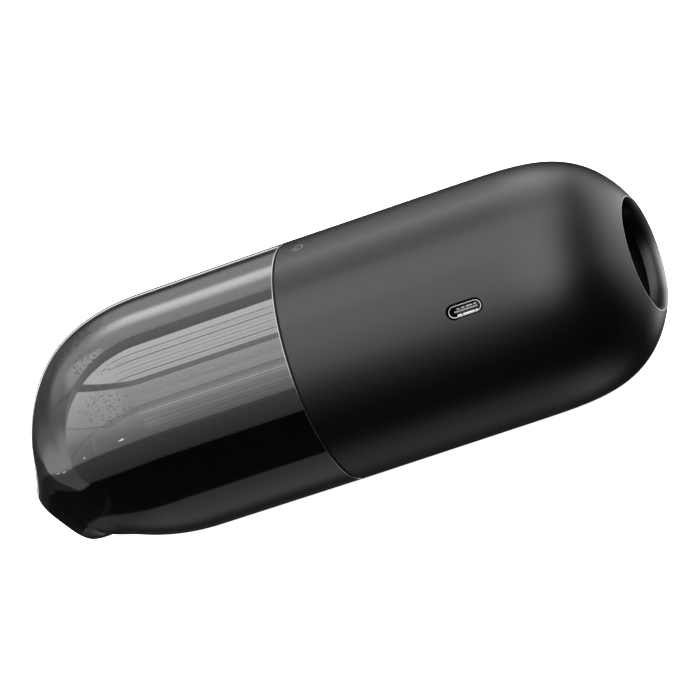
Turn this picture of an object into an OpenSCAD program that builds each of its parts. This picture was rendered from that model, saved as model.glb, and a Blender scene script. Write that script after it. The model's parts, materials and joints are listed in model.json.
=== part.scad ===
// Cordless hand-held car vacuum cleaner: a round barrel with the fan, motor and
// cells, and a clear smoked dust cup that ends in a slanted nozzle mouth.
// Lengths in millimetres. The part lies along X with the nozzle towards -X.

/* [Body] */
// Outer diameter of the barrel and of the cup
body_d = 64; // [63.6:0.1:65]
// Length of the barrel, from the seam to the exhaust rim
rear_len = 89.4; // [89:0.1:92]
// Wall of the barrel
shell_wall = 2.2; // [1.8:0.1:2.2]
// Distance behind the seam where the rear dome starts
dome_start = 42.2; // [41:0.1:43]
// Radius of the exhaust opening
exhaust_r = 14.8; // [14.5:0.05:15.2]
// Length of the straight part of the exhaust opening
exhaust_bore = 2.4; // [2:0.1:2.6]
// Radius of the hollow between that part and the hole behind it
exhaust_hollow = 6; // [5:0.1:6]
// Depth of the flat under the part, on which it lies without rolling
rest_cut = 0.4; // [0.3:0.05:0.4]
// Gap at the seam between the cup and the barrel
seam_gap = 0.4; // [0.2:0.05:0.6]

/* [Dust cup] */
// Length of the straight part of the cup
cup_straight = 40.2; // [39:0.1:41]
// Length of the dome, before the nozzle leaves it
cup_dome = 39; // [38.5:0.1:39.5]
// Fullness of the dome: 2 is an ellipse, more is fuller
cup_fullness = 2.34; // [2.25:0.01:2.4]
// Narrowing of the cup's radius for each millimetre towards the nozzle
cup_taper = 0.007; // [0:0.001:0.008]
// Wall of the cup
cup_wall = 2; // [1.6:0.1:2]
// Upper lip of the mouth, in front of the seam
lip_top_x = 82.9; // [82:0.1:84]
// Upper lip of the mouth, below the axis
lip_top_drop = 3.8; // [3.6:0.1:4.4]
// Lower lip of the mouth, in front of the seam
lip_low_x = 71.9; // [71.5:0.1:72.5]
// Lower lip of the mouth, below the axis
lip_low_drop = 23.4; // [23:0.1:24]
// Half length of the plan outline that sets the mouth's width
cup_plan = 42.5; // [42.3:0.1:44]

/* [Button and port] */
// Distance of the power button behind the seam
button_x = 6.2; // [6.2:0.1:7]
// Diameter of the button
button_d = 6.8; // [6.8:0.1:7.4]
// Travel of the button
button_travel = 0.5; // [0.3:0.05:0.5]
// Distance of the charging port behind the seam
port_x = 48.3; // [48:0.1:49]
// Angle of the charging port, from the top towards the side
port_angle = 65.4; // [64.5:0.1:66]

/* [Drive] */
// Height of the fan and motor axis above the barrel's axis
motor_z = 5.5; // [5.3:0.1:5.7]
// Outer radius of the motor
motor_r = 13; // [12.6:0.1:13]
// Outer radius of the fan wheel
fan_r = 16.5; // [15:0.1:17]
// Number of blades on the fan wheel
blades = 11; // [7:1:15]

/* [Battery] */
// Diameter of a cell
cell_d = 18.2; // [18:0.1:18.2]
// Length of a cell
cell_len = 49.8; // [48:0.1:49.8]

/* [Filter] */
// Number of pleats in the filter
pleats = 36; // [24:1:40]

/* [Hidden] */
$fn = 64;
R = body_d / 2;
Ri = R - shell_wall;
flat_z = R - rest_cut;
flat_w = 2 * sqrt(R * R - flat_z * flat_z);
x_shift = (lip_top_x - rear_len) / 2;
rim_r = 15.2;
dome_p = 4.57;
dome_q = 1.51;
plate_t = 2.5;
cell_y = 9.15;
cell_z = -16.4;
cell_x = 15.9;
board_z = 26;
screw_angles = [-10, 190, 270];
screw_pcr = 24.2;

// ---------- helpers ----------
// Moves the design frame (seam centre on the axis) to the part's own frame.
module place() translate([x_shift, 0, flat_z]) children();
// Turns a shape that is modelled along Z so that it lies along X, from x at height z.
module along_x(x, z = 0) translate([x, 0, z]) rotate([0, 90, 0]) children();
module rod(x0, x1, r, z = 0) along_x(x0, z) cylinder(h = x1 - x0, r = r);
module ring(x0, x1, r_in, r_out, z = 0)
  along_x(0, z) rotate_extrude() translate([r_in, x0]) square([r_out - r_in, x1 - x0]);
// Frame of the charging port: Z points out of the barrel, X runs along it.
module port_frame() translate([port_x, 0, 0]) rotate([port_angle, 0, 0]) children();
module obround(l, w, z0, z1) {
  translate([-(l - w) / 2, 0, z0]) cylinder(h = z1 - z0, d = w);
  translate([(l - w) / 2, 0, z0]) cylinder(h = z1 - z0, d = w);
  translate([-(l - w) / 2, -w / 2, z0]) cube([l - w, w, z1 - z0]);
}
module at_screws() for (a = screw_angles) translate([0, screw_pcr * cos(a), screw_pcr * sin(a)]) children();
module cell_bores(r, x0, x1) for (s = [-1, 1]) translate([0, s * cell_y, cell_z]) rod(x0, x1, r);

// ---------- barrel profile ----------
rear_k = 1 - pow(rim_r / R, dome_q);
function rear_r(u) = R * pow(1 - rear_k * pow(u, dome_p), 1 / dome_q);
function rear_x(u) = dome_start + u * (rear_len - dome_start);
function rear_pt(u) = [rear_r(u), rear_x(u)];
function rear_slope(u) = (rear_r(u + 0.001) - rear_r(u - 0.001)) / (rear_x(u + 0.001) - rear_x(u - 0.001));
// The inner wall stands shell_wall inside the outer one, along the normal.
function rear_in(u) = let (m = rear_slope(u), q = sqrt(1 + m * m))
  [rear_r(u) - shell_wall / q, rear_x(u) + shell_wall * m / q];
out_u = [for (i = [1:22]) 0.985 * (1 - pow(1 - i / 22, 1.35))];
in_u = [for (i = [16:-1:1]) 0.885 * i / 16];

// ---------- cup shape ----------
// The cup is a fan of sections. Each runs from a point on the top line to a point on the
// bottom line, in the plane of symmetry; x counts forward of the seam.
function unit(v) = v / norm(v);
function bez(a, b, c, d, t) = pow(1 - t, 3) * a + 3 * pow(1 - t, 2) * t * b + 3 * (1 - t) * t * t * c + pow(t, 3) * d;
low_fullness = cup_fullness - 0.25;
function cup_r(x) = R - cup_taper * x;
function dome_pt(t, s) = let (f = s > 0 ? cup_fullness : low_fullness, x = cup_straight + cup_dome * pow(sin(t), 2 / f))
  [x, s * cup_r(x) * pow(cos(t), 2 / f)];
function dome_dir(t, s) = unit(dome_pt(t, s) - dome_pt(t - 0.5, s));
top_turn = 78.3;
low_turn = 42.2;
lip_top = [lip_top_x, -lip_top_drop];
lip_low = [lip_low_x, -lip_low_drop];
function blend_to(p, dir, q, end, k1, k2, t) = let (l = norm(q - p)) bez(p, p + dir * l * k1, q - end * l * k2, q, t);
function top_line(s) = s < 0.8 ? dome_pt(top_turn * s / 0.8, 1)
  : blend_to(dome_pt(top_turn, 1), dome_dir(top_turn, 1), lip_top, [sin(29.7), -cos(29.7)], 0.23, 0.28, (s - 0.8) / 0.2);
function low_line(s) = s < 0.76 ? dome_pt(low_turn * s / 0.76, -1)
  : blend_to(dome_pt(low_turn, -1), dome_dir(low_turn, -1), lip_low, [1, 0], 0.1, 0.28, (s - 0.76) / 0.24);
function plan_w(x) = cup_r(x) * pow(1 - pow(max(0, x - cup_straight) / cup_plan, cup_fullness), 1 / cup_fullness);
function ease(x) = let (c = min(1, max(0, x))) c * c * (3 - 2 * c);
// Angles round a ring: the two points beside the lowest one stand at the edges of the flat.
function ring_angle(i, n) = let (g = 360 * i / n) abs(abs(g - 180) - 360 / n) < 0.01 ? 180 + sign(g - 180) * asin(flat_w / body_d) : g;
// One ring of points: e is the squareness of its lower and upper half, t what is taken off
// for the inner wall, n the number of points.
function cup_ring(a, b, w, e, t, n) =
  let (c = (a + b) / 2, v = a - b, h = norm(v) / 2 - t, d = unit(v))
  [for (i = [0:n - 1]) let (g = ring_angle(i, n), cs = cos(g), sn = sin(g),
      p = cs > 0 ? e[1] : e[0], m = h * sign(cs) * pow(abs(cs), 2 / p), y = (w - t) * sign(sn) * pow(abs(sn), 2 / p))
    [-(c[0] + d[0] * m), y, max(-flat_z, c[1] + d[1] * m)]];
cup_n = 40;
cup_k = 22;
function cup_section(k, t) = k == 0 ? cup_ring([seam_gap / 2, R], [seam_gap / 2, -R], R, [2, 2], t, cup_n)
  : let (s = (k - 1) / (cup_k - 1), a = top_line(s), b = low_line(s), w = plan_w((a[0] + b[0]) / 2) * (1 - 0.013 * ease((s - 0.8) / 0.2)),
      e = [2, 2] + [0.9, 1.8] * ease((s - 0.5) / 0.5), tt = t * (1 + 0.3 * ease(s)))
    cup_ring(a, b, w, e, tt, cup_n);

module dust_cup() color([0.1, 0.1, 0.11, 0.75]) place() {
  rings = concat([for (k = [0:cup_k]) cup_section(k, 0)], [for (k = [cup_k:-1:0]) cup_section(k, cup_wall)]);
  m = len(rings);
  points = [for (r = rings) for (p = r) p];
  faces = [for (j = [0:m - 1]) for (i = [0:cup_n - 1])
      let (a = j * cup_n, b = ((j + 1) % m) * cup_n, i2 = (i + 1) % cup_n)
      each [[a + i, b + i, b + i2], [a + i, b + i2, a + i2]]];
  polyhedron(points = points, faces = faces, convexity = 6);
}

// ---------- barrel ----------
module main_shell() color([0.09, 0.09, 0.1]) place() {
  e = exhaust_r;
  l = rear_len;
  in_end = rear_in(0.885);
  f = exhaust_hollow;
  hole_r = e - f * (1 - cos(32));
  profile = concat([[R, seam_gap / 2], [R, dome_start]], [for (u = out_u) rear_pt(u)],
    [[e + 0.62, l - 0.12], [e + 0.38, l], [e + 0.1, l - 0.1], [e, l - 0.4]],
    [for (a = [0:4:32]) [e - f * (1 - cos(a)), l - exhaust_bore - f * sin(a)]],
    [[hole_r, in_end[1]]], [for (u = in_u) rear_in(u)], [[Ri, dome_start], [Ri, seam_gap / 2]]);
  difference() {
    union() {
      along_x(0) rotate_extrude() polygon(profile);
      // Screw bosses for the bulkhead, each on a web
      for (a = screw_angles) rotate([a, 0, 0]) difference() {
        union() {
          translate([0, screw_pcr, 0]) rod(plate_t + 0.5, 13.5, 2.6);
          translate([plate_t + 0.5, screw_pcr, -1]) cube([10.5 - 0.5 + 0.5, Ri - screw_pcr + 0.6, 2]);
        }
        translate([0, screw_pcr, 0]) rod(plate_t, 11.5, 0.9);
      }
      // Ribs that hold the charging board
      port_frame() for (x = [-12, 10.6]) translate([x, -4.2, 24]) cube([1.4, 4.2, Ri - 24 + 0.4]);
    }
    translate([button_x, 0, R - 8]) cylinder(h = 12, d = button_d + 0.4);
    port_frame() obround(9.7, 3.95, 22, 40);
    translate([-1, -R, -R - 5]) cube([l + 2, 2 * R, R + 5 - flat_z]);
  }
}

module front_bulkhead() color([0.16, 0.16, 0.17]) place() difference() {
  union() {
    difference() {
      union() {
        rod(0.3, 0.3 + plate_t, Ri - 0.2);
        ring(-9, 0.4, 27, 29.5);
      }
      ring(-6.2, -4.2, 28.1, 31);
      rod(-1, 4, 9.5, motor_z);
    }
    translate([0.8, -10, motor_z - 0.6]) cube([1.2, 20, 1.2]);
    translate([0.8, -0.6, motor_z - 10]) cube([1.2, 1.2, 20]);
    ring(0.8, 2, 4, 5.2, motor_z);
  }
  at_screws() {
    rod(-1, 4, 1.1);
    rod(-1, 1.5, 2.1);
  }
  // room for the button's skirt
  translate([1.6, -7, 27]) cube([4, 14, 8]);
}

module bulkhead_screws() color([0.72, 0.72, 0.74]) place() at_screws() difference() {
  union() {
    rod(0.3, 1.5, 2);
    rod(1.4, 11, 0.88);
  }
  // cross recess
  translate([0.1, -0.3, -1.1]) cube([0.7, 0.6, 2.2]);
  translate([0.1, -1.1, -0.3]) cube([0.7, 2.2, 0.6]);
}

module cup_seal() color([0.05, 0.05, 0.05]) place()
  along_x(0) rotate_extrude() translate([28.95, -5.2]) circle(r = 0.8);

module intake_gasket() color([0.08, 0.08, 0.08]) place() ring(0.3 + plate_t, 3.3, 10.5, 13, motor_z);

// ---------- fan ----------
module fan_cover() color([0.2, 0.2, 0.22]) place() {
  difference() {
    rod(3.3, 4.7, 19.5, motor_z);
    rod(3, 5, 9, motor_z);
  }
  ring(4.6, 14, 18.4, 19.5, motor_z);
}

module fan_plate() color([0.2, 0.2, 0.22]) place() difference() {
  rod(14, 15.4, 19.5, motor_z);
  rod(13, 16, 4, motor_z);
  for (s = [-1, 1]) translate([0, s * 7.5, 0]) rod(13, 16, 1, motor_z);
  for (i = [0:11]) translate([0, 0, motor_z]) rotate([i * 30 + 15, 0, 0]) translate([0, 15.9, 0]) rod(13, 16, 1.9);
}

// Curved blade outline, from the eye to the rim
function blade_pt(i, off) = let (f = i / 8, r = 6 + f * (fan_r - 6), a = -42 * f) [r * cos(a) - off * sin(a), r * sin(a) + off * cos(a)];
module impeller() color([0.88, 0.88, 0.86]) place() difference() {
  union() {
    rod(11.6, 12.6, fan_r, motor_z);
    rod(6.6, 12.6, 3.4, motor_z);
    for (j = [0:blades - 1]) along_x(5.4, motor_z) rotate([0, 0, 360 * j / blades])
      linear_extrude(height = 6.4) polygon(concat([for (i = [0:8]) blade_pt(i, 0.4)], [for (i = [8:-1:0]) blade_pt(i, -0.4)]));
  }
  rod(4, 14, 1, motor_z);
}

// ---------- motor ----------
module motor_can() color([0.66, 0.67, 0.7]) place() difference() {
  rod(15.4, 45.2, motor_r, motor_z);
  rod(16.8, 46, 11.8, motor_z);
  rod(15, 18, 3, motor_z);
  for (s = [-1, 1]) translate([0, s * 7.5, 0]) rod(15, 18, 1, motor_z);
}

module motor_magnets() color([0.25, 0.25, 0.27]) place()
  for (a = [25, 205]) along_x(0, motor_z) rotate([0, 0, a]) rotate_extrude(angle = 130) translate([9.7, 20]) square([2.05, 20.4]);

module motor_end_cap() color([0.12, 0.12, 0.13]) place() difference() {
  union() {
    rod(45.2, 47.8, motor_r, motor_z);
    rod(47.7, 49.4, 5, motor_z);
  }
  rod(45, 50, 3, motor_z);
}

module motor_brushes() color([0.2, 0.18, 0.16]) place()
  for (s = [-1, 1]) translate([41.8, s * 5 - 1.25, motor_z - 1.5]) cube([3.4, 2.5, 3]);

module motor_terminals() color([0.8, 0.66, 0.3]) place()
  for (s = [-1, 1]) translate([47.8, s * 8 - 0.3, motor_z - 1.4]) cube([4.4, 0.6, 2.8]);

module motor_front_bearing() color([0.72, 0.6, 0.36]) place() ring(14.9, 18.6, 1.04, 3, motor_z);
module motor_rear_bearing() color([0.72, 0.6, 0.36]) place() ring(45.4, 49, 1.04, 3, motor_z);
module motor_damper() color([0.06, 0.06, 0.06]) place() ring(22.4, 27.4, motor_r, motor_r + 1.6, motor_z);

module motor_screws() color([0.72, 0.72, 0.74]) place() for (s = [-1, 1]) translate([0, s * 7.5, 0]) {
  rod(13, 14, 1.9, motor_z);
  rod(13.9, 18.2, 1, motor_z);
}

module motor_shaft() color([0.78, 0.78, 0.8]) place() rod(6.6, 50.4, 1, motor_z);

module armature_core() color([0.55, 0.55, 0.57]) place() difference() {
  rod(21.4, 38.9, 9.2, motor_z);
  rod(21, 39.5, 1, motor_z);
  for (i = [0:4]) translate([0, 0, motor_z]) rotate([72 * i, 0, 0]) {
    translate([0, 5.6, 0]) rod(21, 39.5, 2.1);
    translate([21, 5.6, -0.7]) cube([18.5, 5, 1.4]);
  }
}

module armature_windings() color([0.72, 0.38, 0.16]) place() for (x = [19.6, 38.9])
  along_x(x, motor_z) rotate_extrude() translate([2.4, 0]) polygon([[0, 0], [4.6, 0], [5.4, 0.5], [5.4, 1.3], [4.6, 1.8], [0, 1.8]]);

module commutator() color([0.78, 0.5, 0.28]) place() difference() {
  rod(41, 44.8, 3.4, motor_z);
  rod(40, 46, 1, motor_z);
  for (i = [0:4]) translate([0, 0, motor_z]) rotate([72 * i, 0, 0]) translate([40, 2.9, -0.2]) cube([6, 1, 0.4]);
}

// Two rings on a pair of rails; they rest on the cells and carry the control board.
module motor_cradle() color([0.22, 0.22, 0.24]) place() difference() {
  union() {
    ring(22.4, 27.4, motor_r + 1.6, motor_r + 3.2, motor_z);
    ring(31.4, 35.4, motor_r, motor_r + 3.2, motor_z);
    for (s = [-1, 1]) {
      translate([22.4, s * (motor_r + 2.4) - 0.7, motor_z - 3]) cube([13, 1.4, 6]);
      for (x = [23.4, 31.9]) translate([x, s * 4.5 - 2, motor_z + 13.6]) cube([3, 4, board_z - motor_z - 13.6]);
    }
  }
  cell_bores(cell_d / 2 + 0.2, 20, 40);
  translate([20, -7, -12]) cube([9, 14, 9]);
  for (s = [-1, 1]) translate([24.9, s * 4.5, board_z - 5]) cylinder(h = 8, r = 0.8);
  rod(30, 36, motor_r, motor_z);
  rod(20, 28, motor_r + 1.6, motor_z);
}

// ---------- battery ----------
module battery_tray() color([0.24, 0.24, 0.26]) place() difference() {
  intersection() {
    rod(14.1, cell_x + cell_len + 1.7, R - 3.5);
    translate([0, -40, -60]) cube([90, 80, 60 - 14.5]);
  }
  cell_bores(cell_d / 2 + 0.1, cell_x - 0.4, cell_x + cell_len + 0.5);
  translate([cell_x - 0.4, -7, -17]) cube([cell_len + 0.9, 14, 10]);
  // clearance for the strips
  translate([cell_x - 0.4, -14, -21]) cube([0.5, 28, 10]);
  translate([cell_x + cell_len - 0.1, -14, -21]) cube([0.6, 28, 10]);
}

module battery_cell(s) place() translate([0, s * cell_y, cell_z]) {
  r = cell_d / 2;
  x1 = cell_x + cell_len;
  // a can with a rolled groove near the end that carries the cap
  along_x(0) rotate_extrude() polygon([[0, cell_x], [r - 0.3, cell_x], [r, cell_x + 0.4], [r, x1 - 4.6], [r - 0.6, x1 - 4], [r - 0.6, x1 - 3.4],
    [r, x1 - 2.8], [r, x1 - 1], [r - 0.5, x1 - 0.6], [3.4, x1 - 0.6], [3.2, x1], [0, x1]]);
}
module battery_cell_left() color([0.2, 0.42, 0.62]) battery_cell(1);
module battery_cell_right() color([0.2, 0.42, 0.62]) battery_cell(-1);

module battery_strips() color([0.8, 0.79, 0.75]) place() {
  translate([cell_x - 0.3, -12.5, cell_z - 2.5]) cube([0.3, 25, 5]);
  for (s = [-1, 1]) translate([cell_x + cell_len, s * cell_y - 2.5, cell_z - 2.5]) cube([0.3, 5, 9.5]);
}

// ---------- electronics ----------
module control_board() color([0.1, 0.32, 0.2]) place() difference() {
  translate([3.7, -11.5, board_z]) cube([40.3, 23, 1.2]);
  for (s = [-1, 1]) translate([24.9, s * 4.5, board_z - 1]) cylinder(h = 4, r = 0.9);
}

module board_components() color([0.14, 0.14, 0.15]) place() {
  translate([37.4, -2.5, board_z - 1.1]) cube([5, 5, 1.1]);
  for (s = [-1, 1]) translate([18, s * 7 - 2, board_z - 1.4]) cube([3.2, 4, 1.4]);
  translate([28.6, -8, board_z - 1.8]) cube([2.4, 4, 1.8]);
  translate([28.6, 3, board_z - 1.8]) cube([2.4, 5, 1.8]);
  translate([37.6, 3.4, board_z - 2.2]) cube([4, 3.2, 2.2]);
}

module board_screws() color([0.72, 0.72, 0.74]) place() for (s = [-1, 1]) translate([24.9, s * 4.5, 0]) {
  translate([0, 0, board_z + 1.2]) cylinder(h = 1, r = 1.6);
  translate([0, 0, board_z - 4]) cylinder(h = 5.3, r = 0.8);
}

module switch_body() color([0.7, 0.7, 0.72]) place() difference() {
  translate([button_x - 1.6, -1.6, board_z + 1.2]) cube([3.2, 3.2, 1.8]);
  translate([button_x, 0, board_z + 1.6]) cylinder(h = 3, r = 0.96);
}

module charge_board() color([0.1, 0.32, 0.2]) place() port_frame()
  translate([-10.5, -2.65, 15.6]) cube([21, 1, 11.9]);

module charge_components() color([0.14, 0.14, 0.15]) place() port_frame() {
  translate([1.6, -1.65, 17.2]) cube([4, 1, 4]);
  translate([-3.4, -1.65, 18]) cube([3, 0.9, 2]);
}

module usb_c_shell() color([0.75, 0.75, 0.77]) place() port_frame() difference() {
  obround(8.94, 3.16, 24.2, 31.5);
  obround(8.34, 2.56, 24.8, 32);
}

module usb_c_tongue() color([0.08, 0.08, 0.08]) place() port_frame() difference() {
  translate([-3.35, -0.35, 24.8]) cube([6.7, 0.7, 5.5]);
  for (s = [-1, 1]) for (i = [0:5]) translate([-2.75 + i - 0.15, s * 0.35 - 0.1, 26.2]) cube([0.3, 0.2, 3.6]);
}

module usb_c_contacts() color([0.85, 0.68, 0.3]) place() port_frame()
  for (s = [-1, 1]) for (i = [0:5]) translate([-2.75 + i - 0.15, s > 0 ? 0.25 : -0.35, 26.2]) cube([0.3, 0.1, 3.6]);

// ---------- exhaust ----------
module exhaust_foam() color([0.12, 0.12, 0.12]) place() rod(76, 80.2, 20.8);

module exhaust_grille() color([0.07, 0.07, 0.08]) place() {
  for (r = [3, 7.2, 11.4]) ring(80.2, 82, r, r + 1.4);
  ring(80.2, 82, 16, 20.8);
  for (i = [0:7]) rotate([45 * i, 0, 0]) translate([80.2, 3.6, -0.6]) cube([1.8, 12.8, 1.2]);
}

// ---------- leads ----------
// A round lead along points: rings of n sides, each square to the path.
function tangent(p, i) = unit(p[min(i + 1, len(p) - 1)] - p[max(i - 1, 0)]);
function catmull(p, i, t) = let (a = p[max(i - 1, 0)], b = p[i], c = p[i + 1], d = p[min(i + 2, len(p) - 1)])
  0.5 * (2 * b + (c - a) * t + (2 * a - 5 * b + 4 * c - d) * t * t + (3 * b - a - 3 * c + d) * t * t * t);
function smooth_path(p, m) = [for (i = [0:len(p) - 2]) for (j = [0:m - 1]) catmull(p, i, j / m), each [p[len(p) - 1]]];
module lead(pts, r = 0.6, n = 8, m = 3) {
  p = smooth_path(pts, m);
  k = len(p);
  ref = [0.94, 0.05, 0.34];
  points = [for (i = [0:k - 1]) let (t = tangent(p, i), a = unit(cross(t, ref)), b = cross(t, a))
    for (j = [0:n - 1]) p[i] + r * (cos(360 * j / n) * a + sin(360 * j / n) * b)];
  faces = concat([[for (j = [n - 1:-1:0]) j]], [[for (j = [0:n - 1]) (k - 1) * n + j]],
    [for (i = [0:k - 2]) for (j = [0:n - 1]) let (j2 = (j + 1) % n) each [[i * n + j, i * n + j2, (i + 1) * n + j2], [i * n + j, (i + 1) * n + j2, (i + 1) * n + j]]]);
  polyhedron(points = points, faces = [for (f = faces) [for (q = [len(f) - 1:-1:0]) f[q]]]);
}
module motor_leads() color([0.7, 0.12, 0.1]) place() for (s = [-1, 1])
  lead([[51.6, s * 9, 6], [52.2, s * 9.2, 12], [50, s * 9, 18.5], [45.5, s * 8.6, 22.6], [43, s * 8.4, 25.2]]);
module battery_leads() color([0.7, 0.12, 0.1]) place() for (s = [-1, 1])
  lead([[66.8, s * 9, -11], [67, s * 10, -5], [65, s * 13, 3], [60.6, s * 16, 10], [53, s * 15.6, 16.4], [46, s * 12.4, 22], [42.6, s * 10.4, 25.2]]);
module charge_leads() color([0.7, 0.12, 0.1]) place() for (x = [40, 41.6])
  lead([[x, -17, 6.9], [x, -17.4, 12], [x, -16, 18.6], [x, -13, 23], [x, -10.8 + (x - 40) * 0.8, 25.2]]);

// ---------- power button ----------
module icon_shape(z0, z1) translate([button_x, 0, z0]) {
  // an open ring with a bar through its gap, which faces the nozzle
  rotate([0, 0, 180 + 38]) rotate_extrude(angle = 284) translate([1.15, 0]) square([0.36, z1 - z0]);
  translate([-1.75, -0.18, 0]) cube([1.5, 0.36, z1 - z0]);
}

module power_button() color([0.09, 0.09, 0.1]) place() difference() {
  intersection() {
    translate([button_x, 0, 0]) {
      translate([0, 0, 30.4]) cylinder(h = 4, d = button_d);
      translate([0, 0, 28]) difference() {
        union() {
          cylinder(h = 2.5, d = button_d);
          // ears that keep the button in the shell
          intersection() {
            cylinder(h = 0.8, r = button_d / 2 + 0.9);
            translate([-3, -10, 0]) cube([6, 20, 2]);
          }
        }
        translate([0, 0, -1]) cylinder(h = 3.4, r = button_d / 2 - 0.8);
      }
    }
    rod(button_x - 10, button_x + 10, R - 0.05, $fn = 360);
  }
  icon_shape(R - 0.6, R + 1);
}

module power_icon() color([0.6, 0.6, 0.62]) place() intersection() {
  icon_shape(R - 0.6, R + 1);
  rod(button_x - 10, button_x + 10, R - 0.05, $fn = 360);
}

module switch_plunger() color([0.15, 0.15, 0.15]) place() translate([button_x, 0, 28.2]) cylinder(h = 2.2, r = 0.9);

// ---------- filter ----------
module filter_frame() color([0.2, 0.2, 0.22]) place() {
  difference() {
    ring(-4, -1.4, 15, 26.7);
    for (s = [-1, 1]) translate([-5, s * 24.2 - 1.6, -4]) cube([1.6, 3.2, 8]);
  }
  // core that keeps the pleats from folding in
  ring(-33, -30, 14, 15.2);
  ring(-19.5, -17.5, 14, 15.2);
  for (i = [0:7]) rotate([45 * i, 0, 0]) translate([-33, 14, -1]) cube([29.8, 1.2, 2]);
  ring(-4, -1.4, 14, 15.2);
}

function pleat(r_hi, r_lo) = [for (i = [0:2 * pleats - 1]) let (r = i % 2 == 0 ? r_hi : r_lo, a = 180 * i / pleats) [r * cos(a), r * sin(a)]];
module filter_media() color([0.92, 0.91, 0.86]) place() along_x(-34) linear_extrude(height = 30) difference() {
  polygon(pleat(20.4, 16.4));
  polygon(pleat(19.6, 15.7));
}

module filter_cap() color([0.2, 0.2, 0.22]) place() {
  rod(-36, -34, 21);
  rod(-37.2, -35.9, 6);
}

module filter_screen() color([0.7, 0.7, 0.72]) place() {
  for (x = [-36, -28, -20, -12]) ring(x, x + 1, 22.4, 23.2);
  ring(-36.8, -36, 20, 23.2);
  for (i = [0:23]) rotate([15 * i, 0, 0]) translate([-36, 22.5, -0.25]) cube([32, 0.6, 0.5]);
}

module filter_seal() color([0.06, 0.06, 0.06]) place() ring(-1.4, 0, 20, 26.4);

main_shell();
front_bulkhead();
bulkhead_screws();
cup_seal();
intake_gasket();
fan_cover();
fan_plate();
motor_can();
motor_magnets();
motor_end_cap();
motor_brushes();
motor_terminals();
motor_front_bearing();
motor_rear_bearing();
motor_damper();
motor_screws();
motor_cradle();
battery_tray();
battery_cell_left();
battery_cell_right();
battery_strips();
control_board();
board_components();
board_screws();
switch_body();
charge_board();
charge_components();
usb_c_shell();
usb_c_tongue();
usb_c_contacts();
exhaust_foam();
exhaust_grille();
motor_leads();
battery_leads();
charge_leads();
motor_shaft();
armature_core();
armature_windings();
commutator();
impeller();
power_button();
power_icon();
switch_plunger();
dust_cup();
filter_frame();
filter_media();
filter_cap();
filter_screen();
filter_seal();
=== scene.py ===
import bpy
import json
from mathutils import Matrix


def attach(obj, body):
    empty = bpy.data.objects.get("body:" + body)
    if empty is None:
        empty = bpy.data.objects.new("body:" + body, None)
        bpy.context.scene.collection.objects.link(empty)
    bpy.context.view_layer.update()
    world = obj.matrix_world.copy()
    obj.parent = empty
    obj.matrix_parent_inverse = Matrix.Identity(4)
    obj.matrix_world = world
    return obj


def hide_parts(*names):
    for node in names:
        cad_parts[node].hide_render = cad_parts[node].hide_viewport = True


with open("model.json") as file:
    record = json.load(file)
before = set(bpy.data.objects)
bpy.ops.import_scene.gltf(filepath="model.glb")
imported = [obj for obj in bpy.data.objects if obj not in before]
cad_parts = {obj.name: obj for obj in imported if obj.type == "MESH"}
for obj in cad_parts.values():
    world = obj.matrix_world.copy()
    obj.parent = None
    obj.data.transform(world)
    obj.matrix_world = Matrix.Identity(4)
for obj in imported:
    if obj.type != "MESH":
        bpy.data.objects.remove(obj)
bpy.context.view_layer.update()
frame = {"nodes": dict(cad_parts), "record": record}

import json
from math import sin, cos, tan, pi, radians, degrees, sqrt, atan2, hypot
import bpy, bmesh
import numpy as np
from mathutils import Vector, Matrix

scene = bpy.context.scene
MM = 0.001

# ------------------------------------------------------------------ design numbers, in mm
R = 32.0
REAR = 89.4            # seam to exhaust rim
DOME0 = 42.2           # where the rear dome starts
RIM_R, DOME_P, DOME_Q = 15.2, 4.57, 1.51
EXH_R, EXH_BORE, EXH_HOLLOW = 14.8, 2.4, 6.0
SEAM = 0.4
CUP_S, CUP_D, CUP_N, CUP_TAPER = 40.2, 39.0, 2.34, 0.007
LIP_T, LIP_B = np.array([82.9, -3.8]), np.array([71.9, -23.4])
CUP_PLAN = 42.5
WALL = 2.0
BTN_X, BTN_R = 6.2, 3.4
PORT_X, PORT_A = 48.3, radians(65.4)
MOTOR_Z = 5.5
PLEATS = 36
FLAT = R - 0.4          # axis to the flat under the part
SHIFT = np.array([(LIP_T[0] - REAR) / 2, 0.0, FLAT])


def row(p):
    """Design frame (seam centre on the axis, mm) to the row frame, in metres."""
    return (np.asarray(p, float) + SHIFT) * MM


def port(p):
    """Port frame (X along the barrel, Z out of it, mm) to the design frame."""
    p = np.asarray(p, float)
    c, s = cos(PORT_A), sin(PORT_A)
    out = np.empty_like(p)
    out[..., 0] = p[..., 0] + PORT_X
    out[..., 1] = c * p[..., 1] - s * p[..., 2]
    out[..., 2] = s * p[..., 1] + c * p[..., 2]
    return out


# ------------------------------------------------------------------ mesh helpers
def make(name, verts, faces, mat=None, body="main", smooth=True, sharp=35):
    """A mesh object from points in the design frame."""
    me = bpy.data.meshes.new(name)
    me.from_pydata([tuple(v) for v in row(np.asarray(verts, float).reshape(-1, 3))], [], [tuple(int(i) for i in f) for f in faces])
    me.validate()
    ob = bpy.data.objects.new(name, me)
    scene.collection.objects.link(ob)
    if smooth:
        me.shade_smooth()
        me.set_sharp_from_angle(angle=radians(sharp))
    if mat:
        me.materials.append(mat)
    if body:
        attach(ob, body)
    return ob


def ring_faces(m, n, closed_m=True, closed_n=True, flip=False):
    f = []
    for j in range(m if closed_m else m - 1):
        a, b = j * n, ((j + 1) % m) * n
        for i in range(n if closed_n else n - 1):
            i2 = (i + 1) % n
            q = (a + i, b + i, b + i2, a + i2)
            f.append(q[::-1] if flip else q)
    return f


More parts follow.
